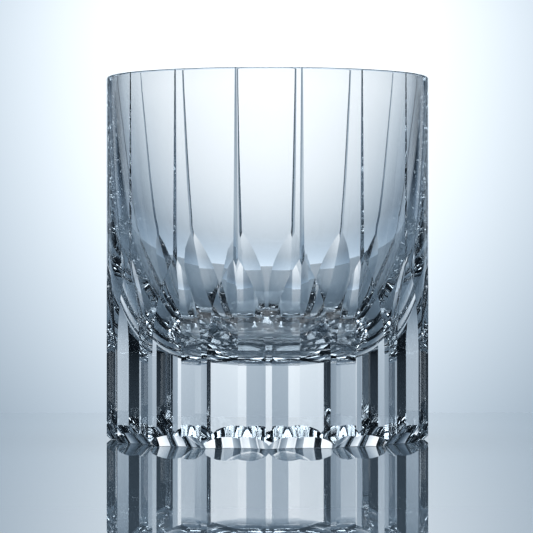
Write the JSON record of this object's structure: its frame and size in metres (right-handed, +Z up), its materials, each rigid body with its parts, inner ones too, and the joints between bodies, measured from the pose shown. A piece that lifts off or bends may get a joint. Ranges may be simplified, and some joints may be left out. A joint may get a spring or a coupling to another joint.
{
  "type": "whiskey tumbler",
  "caption": "Straight-sided cut-crystal whiskey tumbler with a thick clear base, a rounded bowl, wide flutes that rise into pointed leaves, and a fine groove from each leaf to the lip.",
  "frame": {"origin": "centre of the flat underside that the tumbler stands on", "axes": "+Z up along the tumbler's axis; +X and -Y each pass through the narrow land between two flutes"},
  "size_m": [0.08, 0.08, 0.09],
  "materials": {
    "crystal": "clear polished crystal"
  },
  "bodies": {
    "root": {"glass_body": "crystal"}
  },
  "joints": []
}
